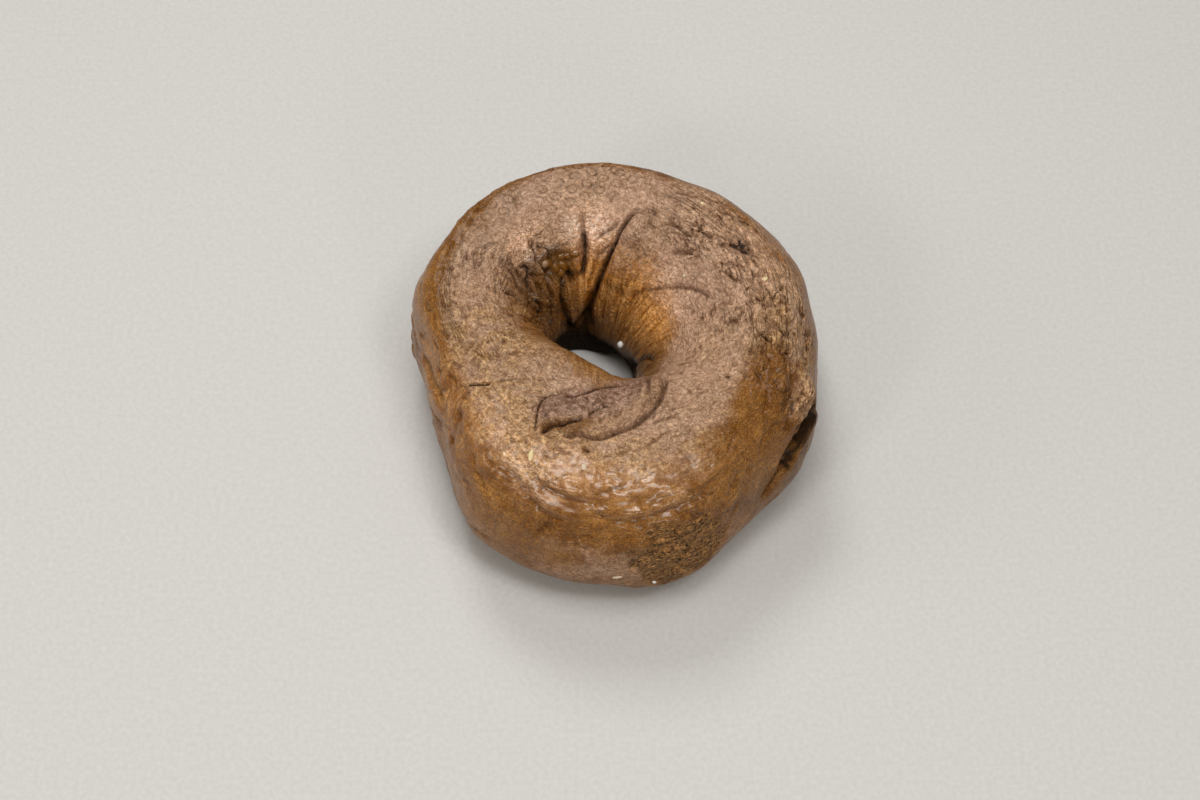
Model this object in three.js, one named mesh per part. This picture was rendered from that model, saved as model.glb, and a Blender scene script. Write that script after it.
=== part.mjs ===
// A hand-rolled bagel: one rope of dough bent into an uneven ring, its ends folded
// over each other, pressed flat on top and risen wide at the foot.
//
// Millimetres, +Z up.  The origin is under the middle of the ring, on the plane it
// rests on.  A place on the ring is given by two angles in degrees: its bearing, from
// +X and counter-clockwise seen from above, and its angle round the dough's section,
// 0 on the outer side, 90 on the crest and 180 in the hole.
import * as THREE from 'three';

const TURN = 2 * Math.PI;
const DEGREE = Math.PI / 180;

// ---- Driving sizes ---------------------------------------------------------------

// Values round the ring, one every 30 degrees of bearing.
const outlineRadii = [50.2, 53.7, 54, 53.5, 54.5, 52, 47, 48.6, 55.9, 57, 51.5, 51.3];
const crestDistances = [27, 27, 27, 27, 26, 25, 24, 23, 22, 22.5, 25, 27];
const crestHeights = [41, 42, 43, 44, 44, 44, 43, 43, 44, 44, 43, 41.5];
const holeWallFullness = [1.4, 1.5, 1.6, 1.6, 1.6, 1.8, 2.2, 2.8, 3.2, 3, 2.2, 1.5];
const throatLowerFullness = [4.5, 3.2, 3, 7, 8, 7, 6, 5, 5, 5, 5, 5];

// Local swellings and hollows of the outline: where, how wide and how far out.
const swellings = [
  { bearing: 164, spread: 13, rise: 4.2 },
  { bearing: 228, spread: 10, rise: 1 },
  { bearing: 260, spread: 12, rise: -0.9 },
  { bearing: 290, spread: 14, rise: 3 },
  { bearing: 315, spread: 14, rise: -0.8 },
];

const throat = { x: -5.4, y: 6, halfLength: 13.9, halfWidth: 9.2, turn: -54 };
const outerFullness = 2.3;
const lowerFullness = 2.2;
const outerGirthHeight = 17;
const throatHeight = 12;
const footSink = 2.5;
const pressedHeight = 40.6;
const pressedSoftness = 1.25;
const reliefCeiling = 41.4;
const reliefSoftness = 0.6;
const footSoftness = 0.83;
const footTrim = 0.35;
const plainFootHeight = 3;

// Folds where the dough was rolled and tucked.  Each runs through its stations,
// [bearing, section angle], as a groove with a rolled lip on its left-hand side, seen
// from outside and looking along it; a negative lipSide puts the lip on the right.
const folds = [
  {
    name: 'lap seam', depth: 2.8, halfWidth: 2.3, lipRise: 1.5, lipReach: 3.8, lipSide: 1,
    stations: [[68, 102], [78, 113], [79, 125], [84, 144], [91, 161], [96, 175], [99, 183]],
  },
  {
    name: 'lap lower branch', depth: 1.8, halfWidth: 2, lipRise: 0.8, lipReach: 3.2, lipSide: -1,
    stations: [[96, 158], [101, 163], [107, 172], [114, 179]],
  },
  {
    name: 'tongue ridge and foot', depth: 1.9, halfWidth: 1.9, lipRise: 1.2, lipReach: 2.8, lipSide: -1,
    stations: [[100, 117], [100, 131], [100, 142], [106, 152], [114, 156], [120, 163], [123, 169]],
  },
  {
    name: 'tucked end, outer edge', depth: 2.5, halfWidth: 1.7, lipRise: 1.1, lipReach: 3.4, lipSide: 1,
    stations: [[252, 79], [259, 82], [270, 83], [281, 90], [293, 101], [304, 114], [311, 127]],
  },
  {
    name: 'tucked end, under its tip', depth: 2, halfWidth: 1.6, lipRise: 0.8, lipReach: 2.8, lipSide: 1,
    stations: [[245, 77], [248, 82], [256, 88], [263, 91], [268, 99], [274, 104]],
  },
  {
    name: 'tucked end, round tip', depth: 1.4, halfWidth: 1.6, lipRise: 0.7, lipReach: 3, lipSide: 1,
    stations: [[248, 101], [242, 97], [240, 89], [241, 82], [243, 73]],
  },
  {
    name: 'tucked end, upper edge', depth: 1, halfWidth: 1.7, lipRise: 0.6, lipReach: 2.8, lipSide: 1,
    stations: [[245, 100], [255, 102], [264, 109], [280, 120], [292, 125]],
  },
  {
    name: 'curl at the throat', depth: 1.7, halfWidth: 2.2, lipRise: 0.9, lipReach: 3.6, lipSide: -1,
    stations: [[364, 184], [356, 168], [344, 160], [331, 152], [318, 141]],
  },
  {
    name: 'side gap', depth: 2.9, halfWidth: 2.7, lipRise: 1.2, lipReach: 4.6, lipSide: 1,
    stations: [[351, 4], [345, 11], [339, 18], [332, 21], [326, 18], [321, 11], [316, 5]],
  },
  {
    name: 'side crease', depth: 1.2, halfWidth: 1.8, lipRise: 0.9, lipReach: 3.2, lipSide: -1,
    stations: [[350, 60], [342, 54], [334, 46], [326, 38]],
  },
  {
    name: 'blistered shoulder', depth: 1.1, halfWidth: 1.8, lipRise: 0.7, lipReach: 3.2, lipSide: -1,
    stations: [[64, 107], [56, 101], [48, 96], [40, 91]],
  },
  {
    name: 'inner wall fold', depth: 0.9, halfWidth: 2, lipRise: 0.8, lipReach: 3.2, lipSide: 1,
    stations: [[59, 151], [43, 139], [27, 123], [17, 112], [2, 99]],
  },
  {
    name: 'front roll', depth: 0.9, halfWidth: 2, lipRise: 0.7, lipReach: 3.6, lipSide: 1,
    stations: [[238, 53], [244, 46], [252, 41], [262, 39]],
  },
  {
    name: 'left ridge', depth: 0.9, halfWidth: 1.9, lipRise: 0.9, lipReach: 3.6, lipSide: -1,
    stations: [[176, 19], [185, 26], [195, 32], [205, 34]],
  },
];
const samplesPerSpan = 6;
const fadeShare = 0.14;

// Low lumps all over, the crumbly patch where the skin is torn away, and hollows on the
// left side and in the hole's rim.
const lumps = [
  { pitch: 41, rise: 0.3 },
  { pitch: 19, rise: 0.22 },
];
const tornPatch = { bearing: 288, angle: 14, reach: 15, depth: 0.9, grain: 0.7, grainPitch: 5.5 };
const hollows = [
  { bearing: 214, angle: 30, reach: 9, depth: 1.8 },
  { bearing: 286, angle: 126, reach: 6.5, depth: 1.2 },
];

// Middle of the finished ring's box, moved onto the origin.
const ringMiddle = { x: -0.63, y: -1.71 };

// Facets: steps round the ring and round the section, closer together on the crest.
const ringSteps = 96;
const sectionSteps = 62;
const crestCrowding = 0.35;

// ---- The plain ring --------------------------------------------------------------

// Smooth closed curve through values evenly spaced round the ring (Catmull-Rom).
function aroundRing(values, bearing) {
  const count = values.length;
  const place = (((bearing / TURN) * count) % count + count) % count;
  const first = Math.floor(place);
  const t = place - first;
  const at = (step) => values[(first + step + count) % count];
  const bend = 2 * at(-1) - 5 * at(0) + 4 * at(1) - at(2) + t * (3 * (at(0) - at(1)) + at(2) - at(-1));
  return at(0) + 0.5 * t * (at(1) - at(-1) + t * bend);
}

// Bell of height 1, `spread` degrees from its middle to where it falls to 1/e.
function bell(bearing, middle, spread) {
  const off = Math.atan2(Math.sin(bearing - middle * DEGREE), Math.cos(bearing - middle * DEGREE));
  return Math.exp(-((off / (spread * DEGREE)) ** 2));
}

// Smallest of `value` and `ceiling`, blended over about `softness` mm.
function softCeiling(value, ceiling, softness) {
  return ceiling - softness * Math.log1p(Math.exp((ceiling - value) / softness));
}

// Where the section at a bearing starts, in the hole, and ends, on the outline.
function sectionEnds(bearing) {
  const turned = bearing - throat.turn * DEGREE;
  const throatRadius = (throat.halfLength * throat.halfWidth)
    / Math.hypot(throat.halfWidth * Math.cos(turned), throat.halfLength * Math.sin(turned));
  let outlineRadius = aroundRing(outlineRadii, bearing);
  for (const swelling of swellings) {
    outlineRadius += swelling.rise * bell(bearing, swelling.bearing, swelling.spread);
  }
  return {
    inner: new THREE.Vector2(
      throat.x + throatRadius * Math.cos(bearing), throat.y + throatRadius * Math.sin(bearing)),
    outer: new THREE.Vector2(outlineRadius * Math.cos(bearing), outlineRadius * Math.sin(bearing)),
  };
}

// The section is four quarter superellipses about the crest line, softly pressed flat
// at the top and trimmed flat at the foot.
function plainRing(bearing, angle) {
  const { inner, outer } = sectionEnds(bearing);
  const crestShare = aroundRing(crestDistances, bearing) / inner.distanceTo(outer);
  const across = Math.cos(angle);
  const upward = Math.sin(angle);
  let fullness = across >= 0 ? lowerFullness : aroundRing(throatLowerFullness, bearing);
  if (upward >= 0) {
    fullness = across >= 0 ? outerFullness : aroundRing(holeWallFullness, bearing);
  }
  const reach = (Math.abs(across) ** fullness + Math.abs(upward) ** fullness) ** (-1 / fullness);
  const out = across * reach;
  const up = upward * reach;
  const girth = throatHeight + (outerGirthHeight - throatHeight) * (0.5 + 0.5 * out);
  const crest = aroundRing(crestHeights, bearing);
  const raw = up >= 0 ? girth + (crest - girth) * up : girth + (girth + footSink) * up;
  const pressed = softCeiling(raw, pressedHeight, pressedSoftness);
  const height = -softCeiling(-pressed, 0, footSoftness) - footTrim;
  const share = out >= 0 ? crestShare + (1 - crestShare) * out : crestShare * (1 + out);
  const plan = inner.clone().lerp(outer, share);
  return new THREE.Vector3(plan.x, plan.y, Math.max(height, 0));
}

// Outward direction of the plain ring.
function outwardAt(bearing, angle) {
  const step = 0.5 * DEGREE;
  const alongRing = plainRing(bearing + step, angle).sub(plainRing(bearing - step, angle));
  const alongSection = plainRing(bearing, angle + step).sub(plainRing(bearing, angle - step));
  return alongRing.cross(alongSection).normalize();
}

// ---- Folds, lumps and the torn patch ---------------------------------------------

// A fold's stations joined by a smooth curve that lies on the plain ring.
function foldLine(fold) {
  const stations = fold.stations.map(([bearing, angle]) => new THREE.Vector2(bearing, angle));
  const curve = new THREE.SplineCurve(stations);
  const count = (stations.length - 1) * samplesPerSpan;
  return curve.getPoints(count).map((place) => plainRing(place.x * DEGREE, place.y * DEGREE));
}

const foldLines = folds.map((fold) => ({ ...fold, line: foldLine(fold) }));

// Height that one fold adds at a point: a groove along its line, with a rolled lip on
// one side that rises over lipReach and dies away, both fading out at the two ends.
function foldRelief(fold, point, outward) {
  const { line } = fold;
  const spans = line.length - 1;
  const span = new THREE.Line3();
  const foot = new THREE.Vector3();
  let distance = Infinity;
  let share = 0;
  let side = 0;
  for (let index = 0; index < spans; index += 1) {
    span.set(line[index], line[index + 1]);
    const along = span.closestPointToPointParameter(point, true);
    span.at(along, foot);
    if (foot.distanceTo(point) < distance) {
      distance = foot.distanceTo(point);
      share = (index + along) / spans;
      const left = outward.clone().cross(span.delta(new THREE.Vector3()));
      side = Math.sign(left.dot(foot.clone().sub(point).negate())) * fold.lipSide;
    }
  }
  const fade = THREE.MathUtils.smoothstep(Math.min(share, 1 - share), 0, fadeShare);
  const groove = -fold.depth * Math.exp(-((distance / fold.halfWidth) ** 2));
  const lipShape = (distance / fold.lipReach) * Math.exp(1 - distance / fold.lipReach);
  const lip = side > 0 ? fold.lipRise * lipShape : 0;
  return fade * (groove + lip);
}

// Share of a patch's middle that reaches a point, from 1 at the middle to 0 outside.
function patchShare(patch, point) {
  const middle = plainRing(patch.bearing * DEGREE, patch.angle * DEGREE);
  return Math.exp(-((point.distanceTo(middle) / patch.reach) ** 4));
}

// Uneven waves through space, `pitch` mm apart and between -1 and 1.
function waves(point, pitch) {
  const pace = TURN / pitch;
  return Math.sin(point.x * pace + 2 * Math.sin(point.z * pace * 0.6))
    * Math.sin(point.y * pace * 0.9 + point.z * pace * 0.8);
}

function relief(point, outward) {
  let rise = 0;
  for (const lump of lumps) {
    rise += lump.rise * waves(point, lump.pitch);
  }
  for (const fold of foldLines) {
    rise += foldRelief(fold, point, outward);
  }
  const torn = patchShare(tornPatch, point);
  rise -= torn * (tornPatch.depth + tornPatch.grain * waves(point, tornPatch.grainPitch));
  for (const hollow of hollows) {
    rise -= patchShare(hollow, point) * hollow.depth;
  }
  return rise;
}

// ---- The solid -------------------------------------------------------------------

function bagelPoint(bearing, angle) {
  const point = plainRing(bearing, angle);
  const outward = outwardAt(bearing, angle);
  const clearOfFoot = THREE.MathUtils.smoothstep(point.z, 0, plainFootHeight);
  point.addScaledVector(outward, clearOfFoot * relief(point, outward));
  point.z = Math.max(softCeiling(point.z, reliefCeiling, reliefSoftness), 0);
  return point;
}

// One closed skin over a grid that wraps round both ways.  Each four-cornered cell is
// cut along its shorter diagonal, so that creases run clean across the grid.
function bagelGeometry() {
  const points = [];
  const triangles = [];
  const corner = (ring, section) => (ring % ringSteps) * sectionSteps + (section % sectionSteps);
  for (let ring = 0; ring < ringSteps; ring += 1) {
    for (let section = 0; section < sectionSteps; section += 1) {
      const even = (section / sectionSteps) * TURN;
      points.push(bagelPoint((ring / ringSteps) * TURN, even + crestCrowding * Math.cos(even)));
    }
  }
  for (let ring = 0; ring < ringSteps; ring += 1) {
    for (let section = 0; section < sectionSteps; section += 1) {
      const near = corner(ring, section);
      const onward = corner(ring + 1, section);
      const upNear = corner(ring, section + 1);
      const upOnward = corner(ring + 1, section + 1);
      const rising = points[near].distanceTo(points[upOnward]);
      const falling = points[onward].distanceTo(points[upNear]);
      if (rising <= falling) {
        triangles.push(near, onward, upOnward, near, upOnward, upNear);
      } else {
        triangles.push(near, onward, upNear, onward, upOnward, upNear);
      }
    }
  }
  const geometry = new THREE.BufferGeometry().setFromPoints(points);
  geometry.setIndex(triangles);
  geometry.translate(-ringMiddle.x, -ringMiddle.y, 0);
  geometry.computeVertexNormals();
  return geometry;
}

const crust = new THREE.MeshStandardMaterial({ color: 0x9a6f47, roughness: 0.42, metalness: 0 });

const bagel = new THREE.Mesh(bagelGeometry(), crust);
bagel.name = 'bagel';

const group = new THREE.Group();
group.add(bagel);

export default group;
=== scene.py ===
"""A hand-rolled bagel: its crust, the folds and tears in it, and what sticks to it."""
from collections import namedtuple

import bpy
import numpy as np
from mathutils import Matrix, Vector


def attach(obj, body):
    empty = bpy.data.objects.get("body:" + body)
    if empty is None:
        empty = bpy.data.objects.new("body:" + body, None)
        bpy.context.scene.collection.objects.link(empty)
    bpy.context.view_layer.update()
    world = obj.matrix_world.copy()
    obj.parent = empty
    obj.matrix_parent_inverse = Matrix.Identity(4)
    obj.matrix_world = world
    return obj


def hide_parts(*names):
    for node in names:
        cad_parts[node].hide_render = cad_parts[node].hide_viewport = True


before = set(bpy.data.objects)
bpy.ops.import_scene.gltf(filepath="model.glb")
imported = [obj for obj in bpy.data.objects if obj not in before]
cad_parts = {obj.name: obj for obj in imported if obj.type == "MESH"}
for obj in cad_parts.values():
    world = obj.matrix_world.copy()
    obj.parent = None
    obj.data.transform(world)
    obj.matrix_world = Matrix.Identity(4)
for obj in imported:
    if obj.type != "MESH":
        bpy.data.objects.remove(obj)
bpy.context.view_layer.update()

MM = 0.001
TURN = 2 * np.pi

# ---- The plain ring: the sizes of the CAD solid, in mm and degrees ----------------

OUTLINE_RADII = [50.2, 53.7, 54, 53.5, 54.5, 52, 47, 48.6, 55.9, 57, 51.5, 51.3]
CREST_DISTANCES = [27, 27, 27, 27, 26, 25, 24, 23, 22, 22.5, 25, 27]
CREST_HEIGHTS = [41, 42, 43, 44, 44, 44, 43, 43, 44, 44, 43, 41.5]
HOLE_WALL_FULLNESS = [1.4, 1.5, 1.6, 1.6, 1.6, 1.8, 2.2, 2.8, 3.2, 3, 2.2, 1.5]
THROAT_LOWER_FULLNESS = [4.5, 3.2, 3, 7, 8, 7, 6, 5, 5, 5, 5, 5]
SWELLINGS = [(164, 13, 4.2), (228, 10, 1), (260, 12, -0.9), (290, 14, 3), (315, 14, -0.8)]
THROAT_MIDDLE = (-5.4, 6)
THROAT_HALVES = (13.9, 9.2)
THROAT_TURN = -54
OUTER_FULLNESS = 2.3
LOWER_FULLNESS = 2.2
OUTER_GIRTH_HEIGHT = 17
THROAT_HEIGHT = 12
FOOT_SINK = 2.5
PRESSED_HEIGHT = 40.6
PRESSED_SOFTNESS = 1.25
FOOT_SOFTNESS = 0.83
FOOT_TRIM = 0.35
PLAIN_FOOT_HEIGHT = 3
RELIEF_CEILING = 41.4
RELIEF_SOFTNESS = 0.6
RING_MIDDLE = (-0.63, -1.71)
# Low lumps all over: pitch and height, in mm.
LUMPS = ((41, 0.3), (19, 0.22))

# Section angles every 30 degrees of bearing: where the wall of the hole starts, where the
# pressed top ends, and where the throat's underside starts, which is painted near black as shade.
WALL_STARTS = [141, 134, 126, 133, 133, 128, 126, 127, 127, 124, 130, 155]
TOP_ENDS = [36, 58, 64, 68, 80, 94, 80, 72, 56, 64, 67, 82]
SHADED_UNDER_STARTS = [190, 184, 174, 170, 170, 170, 170, 170, 170, 170, 178, 190]
# The ellipsoid of the torn patch: its middle as (bearing, section angle), half sizes in mm.
TORN_PLACE = (287, 12)
TORN_HALVES = (14.5, 11.0, 12.0)
TORN_RELIEF = 0.8
TORN_DEPTH = 0.6

# Steps of the skin round the ring and round the section, closer on the crest; the section
# starts and ends under the foot.
RING_STEPS = 560
SECTION_STEPS = 176
CREST_CROWDING = 0.45


def catmull_rom(a, b, c, d, t):
    """From b at t 0 to c at t 1, with a and d as the points before and beyond:
    b + t/2 (c - a + t (2a - 5b + 4c - d + t (3 (b - c) + d - a)))."""
    return b + 0.5 * t * (c - a + t * (2 * a - 5 * b + 4 * c - d + t * (3 * (b - c) + d - a)))


def around_ring(values, bearing):
    """Closed Catmull-Rom curve through values spaced evenly round the ring."""
    values = np.asarray(values, float)
    count = len(values)
    place = (bearing / TURN * count) % count
    first = np.floor(place).astype(int)
    return catmull_rom(*(values[(first + step) % count] for step in (-1, 0, 1, 2)), place - first)


def bell(bearing, middle, spread):
    """e to the minus square of the angle from the middle over the spread."""
    off = (bearing - np.radians(middle) + np.pi) % TURN - np.pi
    return np.exp(-(off / np.radians(spread)) ** 2)


def soft_ceiling(value, ceiling, softness):
    """The smaller of value and ceiling, blended over about the softness."""
    return ceiling - softness * np.logaddexp(0, (ceiling - value) / softness)


def smooth(low, high, value):
    """0 below low, 1 above high, and 3t^2 - 2t^3 between them."""
    t = np.clip((value - low) / (high - low), 0, 1)
    return t * t * (3 - 2 * t)


def plain_ring(bearing, angle):
    """A point of the plain ring, in mm, before it is centred.

    Its section is four quarter superellipses about the crest line, between the throat
    ellipse and the outline, pressed softly flat on top and trimmed flat at the foot.
    """
    along, across = THROAT_HALVES
    turned = bearing - np.radians(THROAT_TURN)
    throat = along * across / np.hypot(across * np.cos(turned), along * np.sin(turned))
    inner_x = THROAT_MIDDLE[0] + throat * np.cos(bearing)
    inner_y = THROAT_MIDDLE[1] + throat * np.sin(bearing)
    outline = around_ring(OUTLINE_RADII, bearing)
    for middle, spread, rise in SWELLINGS:
        outline = outline + rise * bell(bearing, middle, spread)
    outer_x = outline * np.cos(bearing)
    outer_y = outline * np.sin(bearing)
    width = np.hypot(outer_x - inner_x, outer_y - inner_y)
    crest_share = around_ring(CREST_DISTANCES, bearing) / width
    side = np.cos(angle)
    upward = np.sin(angle)
    top_fullness = np.where(side >= 0, OUTER_FULLNESS, around_ring(HOLE_WALL_FULLNESS, bearing))
    low_fullness = np.where(side >= 0, LOWER_FULLNESS, around_ring(THROAT_LOWER_FULLNESS, bearing))
    fullness = np.where(upward >= 0, top_fullness, low_fullness)
    reach = (np.abs(side) ** fullness + np.abs(upward) ** fullness) ** (-1 / fullness)
    out = side * reach
    up = upward * reach
    girth = THROAT_HEIGHT + (OUTER_GIRTH_HEIGHT - THROAT_HEIGHT) * (0.5 + 0.5 * out)
    crest = around_ring(CREST_HEIGHTS, bearing)
    raw = np.where(up >= 0, girth + (crest - girth) * up, girth + (girth + FOOT_SINK) * up)
    pressed = soft_ceiling(raw, PRESSED_HEIGHT, PRESSED_SOFTNESS)
    height = -soft_ceiling(-pressed, 0, FOOT_SOFTNESS) - FOOT_TRIM
    share = np.where(out >= 0, crest_share + (1 - crest_share) * out, crest_share * (1 + out))
    x = inner_x + (outer_x - inner_x) * share
    y = inner_y + (outer_y - inner_y) * share
    return np.stack(np.broadcast_arrays(x, y, np.maximum(height, 0)), -1)


def unit(vectors):
    """Each vector over its own length."""
    return vectors / np.maximum(np.linalg.norm(vectors, axis=-1, keepdims=True), 1e-9)


def outward(bearing, angle):
    """Unit normal of the plain ring: the two tangents crossed, by central differences."""
    step = np.radians(0.5)
    along_ring = plain_ring(bearing + step, angle) - plain_ring(bearing - step, angle)
    along_section = plain_ring(bearing, angle + step) - plain_ring(bearing, angle - step)
    return unit(np.cross(along_ring, along_section))


# ---- Folds -----------------------------------------------------------------------

# A fold is a groove through its stations, (bearing, section angle).  Its rolled lip is
# on the left seen from outside and looking along it (side 1) or on the right (-1).
# pull leans the lip over the groove; ends is the share of its length that each end takes
# to fade; dark is how deep its shadow's colour is.
Fold = namedtuple(
    "Fold", "name stations depth half_width rise reach side dark ends pull", defaults=(0.12, 0.0))

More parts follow.
